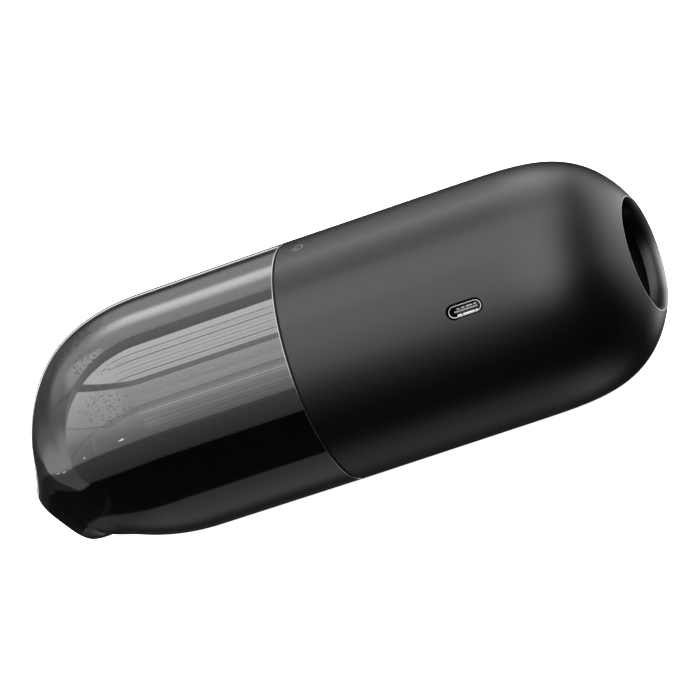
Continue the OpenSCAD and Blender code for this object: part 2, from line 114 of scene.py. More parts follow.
def revolve(profile, n=192, z=0.0):
    """Points of a closed or open profile [(x, r)] turned about the X axis at height z."""
    p = np.asarray(profile, float)
    a = np.arange(n) * 2 * pi / n
    v = np.empty((len(p), n, 3))
    v[..., 0] = p[:, None, 0]
    v[..., 1] = p[:, None, 1] * np.sin(a)
    v[..., 2] = p[:, None, 1] * np.cos(a) + z
    return v.reshape(-1, 3)


def outward(ob):
    bm = bmesh.new()
    bm.from_mesh(ob.data)
    bmesh.ops.recalc_face_normals(bm, faces=bm.faces)
    bm.to_mesh(ob.data)
    bm.free()


def cut(ob, cutter):
    """Takes the cutter's volume out of ob."""
    m = ob.modifiers.new("cut", "BOOLEAN")
    m.operation, m.solver, m.object = "DIFFERENCE", "EXACT", cutter
    bpy.context.view_layer.update()
    dg = bpy.context.evaluated_depsgraph_get()
    me = bpy.data.meshes.new_from_object(ob.evaluated_get(dg))
    old = ob.data
    ob.modifiers.clear()
    ob.data = me
    me.name = old.name
    bpy.data.meshes.remove(old)
    cm = cutter.data
    bpy.data.objects.remove(cutter)
    bpy.data.meshes.remove(cm)


def bez(a, b, c, d, t):
    a, b, c, d = (np.asarray(q, float) for q in (a, b, c, d))
    t = np.asarray(t, float)[..., None]
    return (1 - t) ** 3 * a + 3 * (1 - t) ** 2 * t * b + 3 * (1 - t) * t * t * c + t ** 3 * d


def obround(l, w, m=28):
    """Outline of a slot with round ends, l long and w wide."""
    b = np.linspace(-pi / 2, pi / 2, m)
    end = np.stack([(l - w) / 2 + w / 2 * np.cos(b), w / 2 * np.sin(b)], 1)
    return np.concatenate([end, -end])


def caps(m, n):
    """Faces that close the first and the last of m rings of n points."""
    return [tuple(range(n)), tuple(range((m - 1) * n, m * n))]


def block(name, lo, hi, c, mat, body="main", place=None, lean=None):
    """A box with its edges cut by c, in the frame that place turns into the design frame."""
    lo, hi = np.asarray(lo, float), np.asarray(hi, float)
    pts = []
    for i in range(8):
        q = np.array([hi[k] if i >> k & 1 else lo[k] for k in range(3)])
        d = np.array([-c if i >> k & 1 else c for k in range(3)])
        pts += [q + d * np.array(e) for e in ((0, 1, 1), (1, 0, 1), (1, 1, 0))]
    pts = np.array(pts)
    if lean is not None:
        pts = lean(pts)
    if place is not None:
        pts = place(pts)
    bm = bmesh.new()
    for q in pts:
        bm.verts.new(row(q))
    bmesh.ops.convex_hull(bm, input=bm.verts[:])
    bmesh.ops.dissolve_limit(bm, angle_limit=0.02, verts=bm.verts[:], edges=bm.edges[:])
    me = bpy.data.meshes.new(name)
    bm.to_mesh(me)
    bm.free()
    ob = bpy.data.objects.new(name, me)
    scene.collection.objects.link(ob)
    me.materials.append(mat)
    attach(ob, body)
    return ob


# ------------------------------------------------------------------ barrel and cup lines
KREAR = 1 - (RIM_R / R) ** DOME_Q


def rear_r(x):
    u = np.clip((np.asarray(x, float) - DOME0) / (REAR - DOME0), 0, 1)
    return R * (1 - KREAR * u ** DOME_P) ** (1 / DOME_Q)


def wall_slope(deep):
    """Slope of the exhaust's wall against the axis, in degrees, so deep below the rim in mm."""
    return 7 + 14 * max(0.0, 1 - deep / 1.9) ** 1.2 + 19 * max(0.0, (deep - 1.9) / 2.6)


def dome_pt(t, s):
    """Point of the cup's dome in the plane of symmetry: x forward of the seam, z."""
    t, f = radians(t), CUP_N if s > 0 else CUP_N - 0.25
    x = CUP_S + CUP_D * sin(t) ** (2 / f)
    return np.array([x, s * (R - CUP_TAPER * x) * cos(t) ** (2 / f)])


def unit(v):
    return v / np.linalg.norm(v)


def lead_in(p, d, q, e, k1, k2, t):
    l = np.linalg.norm(q - p)
    return bez(p, p + d * l * k1, q - e * l * k2, q, np.array([t]))[0]


def top_line(s):
    if s < 0.8:
        return dome_pt(78.3 * s / 0.8, 1)
    p, d = dome_pt(78.3, 1), unit(dome_pt(78.3, 1) - dome_pt(77.8, 1))
    return lead_in(p, d, LIP_T, np.array([sin(radians(29.7)), -cos(radians(29.7))]), 0.23, 0.28, (s - 0.8) / 0.2)


def low_line(s):
    if s < 0.76:
        return dome_pt(42.2 * s / 0.76, -1)
    p, d = dome_pt(42.2, -1), unit(dome_pt(42.2, -1) - dome_pt(41.7, -1))
    return lead_in(p, d, LIP_B, np.array([1.0, 0.0]), 0.1, 0.28, (s - 0.76) / 0.24)


def ease(x):
    c = min(1.0, max(0.0, x))
    return c * c * (3 - 2 * c)


def cup_ring(s, inset, n):
    """One ring of the cup. s below 0 is the straight part (-1 at the seam), 0 to 1 the dome and nozzle."""
    if s < 0:
        x = SEAM / 2 + (1 + s) * (CUP_S - SEAM / 2)
        r = R - CUP_TAPER * x
        a, b, w, e0, e1, t = np.array([x, r]), np.array([x, -r]), r, 2.0, 2.0, inset
    else:
        a, b = top_line(s), low_line(s)
        x = (a[0] + b[0]) / 2
        w = (R - CUP_TAPER * x) * (1 - (max(0, x - CUP_S) / CUP_PLAN) ** CUP_N) ** (1 / CUP_N)
        w *= 1 - 0.013 * ease((s - 0.8) / 0.2)
        e0, e1 = 2 + 0.9 * ease((s - 0.5) / 0.5), 2 + 1.8 * ease((s - 0.5) / 0.5)
        t = inset * (1 + 0.3 * ease(s))
    c, d, h = (a + b) / 2, unit(a - b), np.linalg.norm(a - b) / 2 - t
    g = np.arange(n) * 2 * pi / n
    cs, sn = np.cos(g), np.sin(g)
    e = np.where(cs > 0, e1, e0)
    m = h * np.sign(cs) * np.abs(cs) ** (2 / e)
    y = (w - t) * np.sign(sn) * np.abs(sn) ** (2 / e)
    return np.stack([-(c[0] + d[0] * m), y, np.maximum(c[1] + d[1] * m, -FLAT)], 1)


def cup_shell(name, t0, t1, s_end, edge, n, mat, body="cup", fine=1.0, back=0.0):
    """A closed shell between two depths below the cup's outer face, with rounded ends."""
    mid, half = (t0 + t1) / 2, (t1 - t0) / 2
    k_dome = int(96 * fine)
    seam_s, s0 = edge / (CUP_S - SEAM / 2), -1 + back / (CUP_S - SEAM / 2)
    stations = [s0 + seam_s * 1.06, s0 + seam_s * 1.3] + list(np.linspace(-1, 0, 16)[1:-1]) + list(np.linspace(0, 1, k_dome) * (s_end - 0.012))
    rings = []
    for b in np.linspace(0, pi / 2, 5):
        rings.append((s0 + seam_s * (1 - cos(b)), t0 + edge * (1 - sin(b))))
    rings += [(s, t0) for s in stations]
    for b in np.linspace(0, pi, 13):         # rounded lip at the mouth
        rings.append((s_end - 0.012 + 0.012 * sin(b), mid - half * cos(b)))
    rings += [(s, t1) for s in stations[::-1]]
    for b in np.linspace(0, pi / 2, 4):
        rings.append((s0 + seam_s * 0.4 * (1 - sin(b)), t1 - edge * 0.4 * (1 - cos(b))))
    v = np.concatenate([cup_ring(s, t, n) for s, t in rings])
    ob = make(name, v, ring_faces(len(rings), n), mat, body, sharp=40)
    outward(ob)
    return ob


# ------------------------------------------------------------------ materials
class Nodes:
    """A material's node tree, with short calls to add and link nodes."""
    def __init__(self, name):
        self.mat = bpy.data.materials.new(name)
        self.mat.use_nodes = True
        self.t = self.mat.node_tree
        self.b = self.t.nodes["Principled BSDF"]
        self.out = self.t.nodes["Material Output"]
        self.geo = None

    def add(self, kind, **k):
        n = self.t.nodes.new(kind)
        for a, v in k.items():
            setattr(n, a, v)
        return n

    def link(self, a, b):
        self.t.links.new(a, b)

    def coords(self):
        if self.geo is None:
            self.geo = self.add("ShaderNodeTexCoord")
        return self.geo.outputs["Object"]

    def noise(self, scale, detail=4.0, rough=0.55, stretch=(1, 1, 1), dist=0.0):
        m = self.add("ShaderNodeMapping")
        m.inputs["Scale"].default_value = stretch
        self.link(self.coords(), m.inputs["Vector"])
        n = self.add("ShaderNodeTexNoise")
        n.inputs["Scale"].default_value = scale
        n.inputs["Detail"].default_value = detail
        n.inputs["Roughness"].default_value = rough
        n.inputs["Distortion"].default_value = dist
        self.link(m.outputs["Vector"], n.inputs["Vector"])
        return n.outputs["Fac"]

    def ramp(self, fac, stops):
        r = self.add("ShaderNodeValToRGB")
        e = r.color_ramp.elements
        while len(e) < len(stops):
            e.new(0.5)
        for q, (p, c) in zip(e, stops):
            q.position = p
            q.color = (*c, 1) if len(c) == 3 else c
        self.link(fac, r.inputs["Fac"])
        return r.outputs["Color"]

    def span(self, fac, lo, hi, f0=0.0, f1=1.0):
        m = self.add("ShaderNodeMapRange")
        m.inputs["From Min"].default_value, m.inputs["From Max"].default_value = f0, f1
        m.inputs["To Min"].default_value, m.inputs["To Max"].default_value = lo, hi
        self.link(fac, m.inputs["Value"])
        return m.outputs["Result"]

    def bump(self, height, strength, dist, prev=None):
        b = self.add("ShaderNodeBump")
        b.inputs["Strength"].default_value = strength
        b.inputs["Distance"].default_value = dist
        self.link(height, b.inputs["Height"])
        if prev is not None:
            self.link(prev, b.inputs["Normal"])
        return b.outputs["Normal"]

    def set(self, **k):
        names = {"color": "Base Color", "rough": "Roughness", "metal": "Metallic", "ior": "IOR", "trans": "Transmission Weight",
                 "coat": "Coat Weight", "coat_rough": "Coat Roughness", "spec": "Specular IOR Level", "sheen": "Sheen Weight",
                 "sheen_rough": "Sheen Roughness", "normal": "Normal", "alpha": "Alpha", "aniso": "Anisotropic", "sss": "Subsurface Weight"}
        for a, v in k.items():
            s = self.b.inputs[names[a]]
            if isinstance(v, bpy.types.NodeSocket):
                self.link(v, s)
            elif a == "color":
                s.default_value = (*v, 1)
            else:
                s.default_value = v
        return self.mat


def soft_touch(name):
    m = Nodes(name)
    grain = m.noise(9000, 2, 0.5)
    cloud = m.noise(60, 4, 0.6)
    wipe = m.noise(28, 3, 0.6, (0.35, 1, 1), 0.6)
    col = m.ramp(cloud, [(0.3, (0.0004, 0.0004, 0.0005)), (0.7, (0.0007, 0.0007, 0.0008))])
    rough = m.span(wipe, 0.29, 0.33, 0.3, 0.7)
    return m.set(color=col, rough=rough, spec=0.24, normal=m.bump(grain, 0.04, 0.00003))


def print_grey(name):
    m = Nodes(name)
    cloud = m.noise(900, 3, 0.6)
    return m.set(color=m.ramp(cloud, [(0.3, (0.058, 0.058, 0.058)), (0.7, (0.070, 0.070, 0.070))]), rough=m.span(cloud, 0.3, 0.36), spec=0.24, normal=m.bump(cloud, 0.03, 0.00003))


def smoked(name):
    m = Nodes(name)
    wave = m.noise(26, 2, 0.5, (0.25, 1, 1))
    haze = m.noise(90, 3, 0.6, (0.2, 1, 1))
    return m.set(color=m.ramp(haze, [(0.3, (0.020, 0.020, 0.022)), (0.7, (0.024, 0.024, 0.026))]), rough=0.0, ior=1.5, trans=1.0,
                 normal=m.bump(wave, 0.0004, 0.0004))


def edge_gloss(name):
    m = Nodes(name)
    wave = m.noise(60, 2, 0.5)
    m.b.inputs["Coat IOR"].default_value = 1.9
    return m.set(color=(0.012, 0.012, 0.013), rough=m.span(wave, 0.16, 0.24), ior=1.6, coat=1.0, coat_rough=m.span(wave, 0.12, 0.2), normal=m.bump(wave, 0.02, 0.0001))


def plate_steel(name, c):
    m = Nodes(name)
    s = m.noise(2400, 3, 0.6, (1, 6, 6))
    return m.set(color=m.ramp(s, [(0.3, [x * 0.85 for x in c]), (0.7, [x * 1.1 for x in c])]), metal=1.0, rough=m.span(s, 0.22, 0.34, 0.3, 0.7), normal=m.bump(s, 0.04, 0.00002))


def plastic(name, c, rough=0.5, grain=4200, depth=0.12, spread=0.18):
    m = Nodes(name)
    g = m.noise(grain, 2, 0.5)
    cloud = m.noise(180, 4, 0.6)
    lo, hi = [x * (1 - spread) for x in c], [min(1, x * (1 + spread)) for x in c]
    return m.set(color=m.ramp(cloud, [(0.3, lo), (0.7, hi)]), rough=m.span(cloud, rough - 0.06, rough + 0.06), normal=m.bump(g, depth, 0.00004))


def metal(name, c, rough=0.28, scratch=(1, 12, 12), depth=0.05, spread=0.12):
    m = Nodes(name)
    s = m.noise(700, 3, 0.6, scratch)
    cloud = m.noise(240, 4, 0.6)
    lo, hi = [x * (1 - spread) for x in c], [min(1, x * (1 + spread)) for x in c]
    return m.set(color=m.ramp(cloud, [(0.3, lo), (0.7, hi)]), metal=1.0, rough=m.span(s, rough - 0.08, rough + 0.1, 0.3, 0.7), normal=m.bump(s, depth, 0.00003))


def rubber(name, c=(0.012, 0.012, 0.012), rough=0.62):
    m = Nodes(name)
    g = m.noise(2600, 3, 0.6)
    cloud = m.noise(260, 3, 0.6)
    lo, hi = [x * 0.75 for x in c], [x * 1.3 for x in c]
    return m.set(color=m.ramp(cloud, [(0.3, lo), (0.7, hi)]), rough=m.span(g, rough - 0.08, rough + 0.1), spec=0.4, normal=m.bump(g, 0.12, 0.00004))


MAT = {
    "soft_black": soft_touch("soft_black_shell"),
    "smoked_clear": smoked("smoked_clear_cup"),
    "inner_plastic": plastic("inner_plastic_dark", (0.022, 0.022, 0.024), 0.46),
    "fan_plastic": plastic("fan_plastic_pale", (0.62, 0.62, 0.59), 0.42),
    "seal_rubber": rubber("seal_rubber_black"),
    "zinc_steel": metal("zinc_steel_plate", (0.56, 0.56, 0.58)),
    "port_steel": metal("port_steel_grey", (0.22, 0.22, 0.225), 0.22),
    "ferrite": plastic("ferrite_grey", (0.05, 0.05, 0.053), 0.55, 2600, 0.2),
    "bronze": metal("bronze_sintered", (0.6, 0.42, 0.2), 0.36),
    "gold_contact": metal("gold_contact_plate", (0.36, 0.34, 0.30), 0.24),
    "copper": metal("copper_enamel", (0.62, 0.26, 0.11), 0.32, (14, 1, 1)),
    "carbon": plastic("carbon_block", (0.03, 0.03, 0.03), 0.6),
    "cell_wrap": plastic("cell_wrap_blue", (0.03, 0.11, 0.25), 0.3, 1500, 0.04),
    "nickel": metal("nickel_strip", (0.66, 0.63, 0.58), 0.34),
    "board_green": plastic("board_green_mask", (0.012, 0.085, 0.04), 0.34, 2200, 0.08),
    "chip_black": plastic("chip_black_mould", (0.018, 0.018, 0.019), 0.4),
    "foam": rubber("foam_dark", (0.016, 0.016, 0.016), 0.85),
    "pleat_paper": plastic("pleat_paper_white", (0.72, 0.71, 0.66), 0.8, 1800, 0.3),
    "lead_red": rubber("lead_red_silicone", (0.32, 0.02, 0.018), 0.45),
    "icon_grey": print_grey("icon_grey_print"),
}

# every carried-over CAD node gets its slot's finish
for sub in frame["record"]["subparts"]:
    o = frame["nodes"][sub["node"]]
    o.data.materials.clear()
    o.data.materials.append(MAT[sub["material_slot"]])

# ------------------------------------------------------------------ barrel
def barrel():
    l, e = REAR, EXH_R
    prof = [(SEAM / 2, R - 2.2), (SEAM / 2, R - 0.28)]
    prof += [(SEAM / 2 + 0.28 * (1 - cos(b)), R - 0.28 * (1 - sin(b))) for b in np.linspace(0, pi / 2, 6)[1:]]
    prof += [(x, R) for x in np.linspace(2, DOME0, 28)]
    u = 1 - (1 - np.linspace(0, 1, 72)[1:]) ** 1.5
    xs = DOME0 + (REAR - DOME0) * u * 0.993
    prof += [(x, float(rear_r(x))) for x in xs]
    # tight rim, a chamfer, then the wall that narrows to the hole
    p0 = np.array(prof[-1])
    d0 = unit(p0 - np.array([p0[0] - 0.05, float(rear_r(p0[0] - 0.05))]))
    lip = bez(p0, p0 + d0 * 0.34, (l + 0.06, e + 0.44), (l - 0.14, e + 0.37), np.linspace(0, 1, 16)[1:])
    lip[:, 0] = np.minimum(lip[:, 0], l - 0.001)
    prof += [tuple(q) for q in lip]
    # slope of the wall, in degrees, from the rim to the hole
    steps, r = np.linspace(0.14, 4.5, 40), e + 0.37
    for xa, xb in zip(steps[:-1], steps[1:]):
        r -= (xb - xa) * tan(radians(wall_slope((xa + xb) / 2)))
        prof.append((l - xb, r))
    x1, hole = prof[-1]
    prof += [(x1 - 0.07, hole - 0.02), (x1 - 0.14, hole + 0.02), (82.4, hole + 0.02), (82.4, 21.4)]
    ins = []
    for uu in np.linspace(0.88, 0.0, 26):
        x = DOME0 + uu * (REAR - DOME0)
        m = (float(rear_r(x + 0.01)) - float(rear_r(x - 0.01))) / 0.02
        q = sqrt(1 + m * m)
        ins.append((x + 2.2 * m / q, float(rear_r(x)) - 2.2 / q))
    prof += [p for p in ins if p[0] < 82.3] + [(x, R - 2.2) for x in np.linspace(DOME0, 2, 12)]
    n = 224
    v = revolve(prof, n)
    v[:, 2] = np.maximum(v[:, 2], -FLAT)
    ob = make("barrel_shell", v, ring_faces(len(prof), n), MAT["soft_black"], "main")
    outward(ob)
    # hole for the button, with a softened edge that follows the barrel
    k = 96
    a = np.arange(k) * 2 * pi / k
    rings = []
    for g, dz in ((0.15, 1.2), (0.07, 0.02), (0.045, -0.02), (0.035, -0.06), (0.035, -8.0)):
        r = BTN_R + g
        y = r * np.sin(a)
        rings.append(np.stack([BTN_X + r * np.cos(a), y, np.sqrt(R * R - y * y) + dz], 1))
    v = np.concatenate(rings)
    f = ring_faces(len(rings), k, closed_m=False) + [tuple(range(k)), tuple(range((len(rings) - 1) * k, len(rings) * k))]
    c = make("cut_button", v, f, None, None, smooth=False)
    outward(c)
    cut(ob, c)
    # hole for the charging port
    rings = []
    for grow, dz in ((1.6, 1.2), (0.50, 0.02), (0.30, -0.03), (0.14, -0.10), (0.04, -0.20), (0.0, -0.32), (0.0, -9.0)):
        q = obround(9.7 + grow, 3.95 + grow)
        rings.append(port(np.column_stack([q, np.sqrt(R * R - q[:, 1] ** 2) + dz])))
    k = len(rings[0])
    v = np.concatenate(rings)
    f = ring_faces(len(rings), k, closed_m=False) + [tuple(range(k)), tuple(range((len(rings) - 1) * k, len(rings) * k))]
    c = make("cut_port", v, f, None, None, smooth=False)
    outward(c)
    cut(ob, c)
    # true normals of the turned outer face, so that the holes leave no trace in its shading
    me = ob.data
    me.shade_smooth()
    me.set_sharp_from_angle(angle=radians(32))
    nv = len(me.vertices)
    co = np.empty(nv * 3)
    me.vertices.foreach_get("co", co)
    co = co.reshape(-1, 3) / MM - SHIFT
    ln = np.empty(len(me.loops) * 3, np.float32)
    me.corner_normals.foreach_get("vector", ln)
    ln = ln.reshape(-1, 3)
    rad = np.hypot(co[:, 1], co[:, 2])
    on = (np.abs(rad - rear_r(co[:, 0])) < 0.012) & (co[:, 0] > SEAM / 2 + 0.279) & (co[:, 0] < DOME0 + (REAR - DOME0) * 0.9929)
    slope = (rear_r(co[:, 0] + 0.01) - rear_r(co[:, 0] - 0.01)) / 0.02
    nn = np.stack([-slope, co[:, 1] / np.maximum(rad, 1e-6), co[:, 2] / np.maximum(rad, 1e-6)], 1)
    nn /= np.linalg.norm(nn, axis=1)[:, None]
    lv = np.empty(len(me.loops), np.int32)
    me.loops.foreach_get("vertex_index", lv)
    for p in me.polygons:
        idx = lv[p.loop_start:p.loop_start + p.loop_total]
        if on[idx].all():
            ln[p.loop_start:p.loop_start + p.loop_total] = nn[idx]
    me.normals_split_custom_set([tuple(q) for q in ln])
    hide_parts("main_shell")
    return ob


def edge_satin(name):
    """Worn satin that fades into the bore."""
    m = Nodes(name)
    sep = m.add("ShaderNodeSeparateXYZ")
    m.link(m.coords(), sep.inputs[0])
    x = row((REAR, 0, 0))[0]
    deep = m.span(sep.outputs[0], 0.0, 1.0, x - 0.0021, x - 0.0001)
    fleck = m.noise(1800, 3, 0.6)
    return m.set(color=m.ramp(deep, [(0.0, (0.012, 0.012, 0.012)), (0.35, (0.016, 0.016, 0.016)), (0.72, (0.08, 0.08, 0.08)), (1.0, (0.16, 0.16, 0.16))]), metal=0.45,
                 rough=m.span(fleck, 0.28, 0.36, 0.3, 0.7), normal=m.bump(fleck, 0.03, 0.00002))


def edge_band():
    """The bright edge just inside the exhaust's rim."""
    l, e = REAR, EXH_R
    face, r = [(l - 0.10, e + 0.35)], e + 0.33
    steps = np.linspace(0.14, 2.1, 18)
    for xa, xb in zip(steps[:-1], steps[1:]):
        face.append((l - xa, r))
        r -= (xb - xa) * tan(radians(wall_slope((xa + xb) / 2)))
    prof = face + [(x, q + 0.08) for x, q in face[::-1]]
    ob = make("exhaust_edge_band", revolve(prof, 224), ring_faces(len(prof), 224), edge_satin("exhaust_edge_satin"), "main", sharp=40)
    outward(ob)
    return ob


barrel_ob = barrel()
edge_band()

# ------------------------------------------------------------------ cup
CUP_SEG = 240
cup_ob = cup_shell("cup_smoked_wall", 0.0, WALL, 1.0, 0.02, CUP_SEG, MAT["smoked_clear"], back=0.30)
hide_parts("dust_cup")


def cup_bead():
    """The polished edge at the cup's open end, which draws the bright line along the seam."""
    x0, c = -SEAM / 2, 0.28
    prof = [(x0 - 0.295, R - 1.3), (x0 - 0.295, R - 0.03), (x0 - 0.285, R)]
    prof += [(x0 - c * (1 - sin(b)), R - c * (1 - cos(b))) for b in np.linspace(0, pi / 2, 9)]
    prof += [(x0, R - 1.22), (x0 - 0.08, R - 1.3)]
    v = revolve(prof, CUP_SEG)
    v[:, 2] = np.maximum(v[:, 2], -FLAT)
    ob = make("cup_edge_bead", v, ring_faces(len(prof), CUP_SEG), edge_gloss("cup_edge_gloss"), "cup", sharp=50)
    outward(ob)
    return ob


cup_bead()


# ------------------------------------------------------------------ button with its icon
def crown(x, y, r):
    """Points of the barrel's crown at radius r, x and y from the button's middle."""
    return np.stack([BTN_X + x, y, np.sqrt(r * r - y * y)], -1)


def button_cap():
    k, top = 120, R - 0.02
    a = np.arange(k) * 2 * pi / k
    ca, sa = np.cos(a), np.sin(a)
    rings = [crown(r * ca, r * sa, top) for r in (0.3, 0.8, 1.2, 1.6, 2.0, 2.4, 2.8, 3.1, BTN_R - 0.06, BTN_R - 0.045, BTN_R - 0.04)]
    for b in np.linspace(0, pi / 2, 4)[1:]:
        r = BTN_R - 0.04 + 0.05 * sin(b)
        rings.append(crown(r * ca, r * sa, top) - np.array([0, 0, 0.05 * (1 - cos(b))]))
    for r, z in ((BTN_R + 0.01, 29.6), (BTN_R + 0.01, 28.0), (BTN_R - 0.1, 27.98), (BTN_R - 0.7, 27.98), (BTN_R - 0.8, 28.1), (BTN_R - 0.8, 30.3), (BTN_R - 0.9, 30.42), (1.0, 30.42)):
        rings.append(np.stack([BTN_X + r * ca, r * sa, np.full(k, z)], 1))
    v = np.concatenate(rings)
    f = ring_faces(len(rings), k, closed_m=False) + caps(len(rings), k)
    # ears under the shell that keep the button in
    for side in (-1, 1):
        n0, m = len(v), 17
        b = np.linspace(-0.55, 0.55, m)
        ear = [np.stack([BTN_X + r * np.sin(b), side * r * np.cos(b), np.full(m, z)], 1) for r, z in ((BTN_R - 0.02, 28.05), (BTN_R + 0.86, 28.05), (BTN_R + 0.86, 28.8), (BTN_R - 0.02, 28.8))]
        v = np.concatenate([v] + ear)
        q = ring_faces(4, m, closed_n=False) + [(0, m, 2 * m, 3 * m), (m - 1, 2 * m - 1, 3 * m - 1, 4 * m - 1)]
        f += [tuple(n0 + i for i in t) for t in q]
    ob = make("button_cap", v, f, MAT["soft_black"], "button", sharp=38)
    outward(ob)
    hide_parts("power_button")
    return ob


def power_mark():
    """A ring with a gap and a stroke in it, standing a hair above the cap."""
    lo, hi = R - 0.024, R - 0.008
    v, f = [], []
    m, r0, r1 = 72, 1.15, 1.51
    g = radians(180 + 38) + np.linspace(0, radians(284), m)
    cut_ = [(r0 + 0.03, lo), (r0 + 0.03, hi - 0.004), (r0 + 0.06, hi), (r1 - 0.06, hi), (r1 - 0.03, hi - 0.004), (r1 - 0.03, lo)]
    for r, z in cut_:
        v.append(crown(r * np.cos(g), r * np.sin(g), z))
    f += ring_faces(len(cut_), m, closed_n=False) + [tuple(i * m for i in range(len(cut_))), tuple(i * m + m - 1 for i in range(len(cut_)))]
    n0 = len(cut_) * m
    bar = np.array([(-1.75, -0.15), (-1.72, -0.18), (-0.28, -0.18), (-0.25, -0.15), (-0.25, 0.15), (-0.28, 0.18), (-1.72, 0.18), (-1.75, 0.15)])
    v += [crown(bar[:, 0], bar[:, 1], lo), crown(bar[:, 0], bar[:, 1], hi)]
    f += [tuple(n0 + i for i in t) for t in ring_faces(2, 8, closed_m=False) + caps(2, 8)]
    ob = make("power_mark", np.concatenate(v), f, MAT["icon_grey"], "button", sharp=40)
    outward(ob)
    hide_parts("power_icon")
    return ob


button_cap()
power_mark()


# ------------------------------------------------------------------ charging port
def port_loft(name, rings, mat, sharp=35):
    """A closed skin through slot outlines (length, width, height), in the port's frame."""
    v = np.concatenate([port(np.column_stack([obround(l, w), np.full(56, z)])) for l, w, z in rings])
    ob = make(name, v, ring_faces(len(rings), 56, closed_m=False) + caps(len(rings), 56), mat, "main", sharp=sharp)
    outward(ob)
    return ob


rim = [(8.94, 3.16, 24.2), (8.94, 3.16, 31.34)]
rim += [(8.94 - 0.3 * (1 - cos(b)), 3.16 - 0.3 * (1 - cos(b)), 31.36 + 0.13 * sin(b)) for b in np.linspace(0, pi, 11)]
rim += [(8.34, 2.56, 31.3), (8.34, 2.56, 24.9), (8.2, 2.42, 24.8)]
port_rim = port_loft("port_shell", rim, MAT["port_steel"])
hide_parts("usb_c_shell")

tongue = block("port_tongue", (-3.35, -0.34, 24.82), (3.35, 0.34, 30.24), 0.09, MAT["chip_black"], place=port)
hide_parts("usb_c_tongue")
port_loft("port_floor", [(8.2, 2.42, 24.95), (8.2, 2.42, 25.5), (8.1, 2.32, 25.6)], MAT["chip_black"])
block("port_mid_plate", (-3.1, -0.10, 29.9), (3.05, 0.10, 30.3), 0.03, plate_steel("port_mid_plate_steel", (0.15, 0.15, 0.15)), place=port)
for i, (x0, x1) in enumerate(((-2.5, -1.2), (-0.95, 2.2), (2.45, 3.1))):
    block("port_spring_low_%d" % (i + 1), (x0, -1.22, 30.75), (x1, -0.84, 30.85), 0.03, plate_steel("port_spring_low_steel_%d" % (i + 1), (0.2, 0.2, 0.2)),
          place=port, lean=lambda q: q + np.column_stack([0 * q[:, 0], 0 * q[:, 0], (q[:, 1] + 1.0) * -0.35]))
for i, (x0, x1) in enumerate(((-2.3, -1.55), (-1.05, -0.15), (0.25, 1.95), (2.35, 3.0))):
    block("port_spring_up_%d" % (i + 1), (x0, 0.50, 30.4), (x1, 0.76, 30.5), 0.03, plate_steel("port_spring_up_steel_%d" % (i + 1), (0.2, 0.2, 0.2)), place=port)

# ------------------------------------------------------------------ filter
def pleated_media():
    """A closed band of rounded pleats round the filter's core."""
    n = PLEATS * 20
    a = np.arange(n) * 2 * pi / n
    wave = np.arcsin(0.965 * np.cos(PLEATS * a)) / np.arcsin(0.965)
    rings = []
    for x, d in ((-4.02, -0.12), (-4.1, -0.22), (-33.9, -0.22), (-33.98, -0.12), (-33.98, 0.12), (-33.9, 0.22), (-4.1, 0.22), (-4.02, 0.12)):
        r = 18.05 + 1.95 * wave + d
        rings.append(np.stack([np.full(n, x), r * np.sin(a), r * np.cos(a)], 1))
    ob = make("filter_pleats", np.concatenate(rings), ring_faces(len(rings), n), MAT["pleat_paper"], "filter", sharp=50)
    outward(ob)
    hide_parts("filter_media")
    return ob


def end_cap():
    """The filter's closed end: a rolled edge, a dished ring and a grip in the middle."""
    prof = [(-34.02, 0.4), (-34.02, 20.5), (-34.1, 20.8), (-34.35, 20.97), (-35.5, 20.97), (-35.82, 20.85), (-35.97, 20.5), (-35.97, 19.4), (-35.9, 19.1),
            (-35.45, 18.2), (-35.4, 17.8), (-35.4, 9.2), (-35.45, 8.8), (-35.85, 8.0), (-35.95, 7.6), (-35.96, 6.3), (-36.0, 6.05), (-36.2, 5.97), (-36.9, 5.95),
            (-37.12, 5.85), (-37.18, 5.6), (-37.18, 5.0), (-37.1, 4.7), (-36.75, 4.2), (-36.7, 3.9), (-36.7, 0.4)]
    n = 144
    v = revolve(prof, n)
    ob = make("filter_end_cap", v, ring_faces(len(prof), n, closed_m=False) + caps(len(prof), n), MAT["inner_plastic"], "filter", sharp=40)
    outward(ob)
    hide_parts("filter_cap")
    return ob


pleated_media()
end_cap()

# ------------------------------------------------------------------ camera
TH, ER, DIST, PXMM, ANG = radians(16.33), radians(22.65), 2000.0, 3.8888, radians(18.523)
S_PX = (325.2, 360.19)       # where the seam's centre falls in the 700 x 700 frame
dv = np.array([cos(TH), sin(TH) * cos(ER), -sin(TH) * sin(ER)])
nv = np.array([0.0, -sin(ER), -cos(ER)])
toward = np.array([sin(TH), -cos(TH) * cos(ER), cos(TH) * sin(ER)])
right = dv * cos(ANG) + nv * sin(ANG)
up = dv * sin(ANG) - nv * cos(ANG)
cam_mm = right * (350 - S_PX[0]) / PXMM + up * (S_PX[1] - 350) / PXMM + toward * DIST
cd = bpy.data.cameras.new("camera")
cam = bpy.data.objects.new("camera", cd)
scene.collection.objects.link(cam)
cd.sensor_fit, cd.sensor_width = "HORIZONTAL", 36.0
cd.lens = 36.0 * PXMM * DIST / 700
cd.clip_start, cd.clip_end = 0.05, 60
m = Matrix.Identity(4)
for i, axis in enumerate((right, up, toward)):
    for j in range(3):
        m[j][i] = axis[j]
m.translation = Vector(row(cam_mm))
cam.matrix_world = m
scene.camera = cam

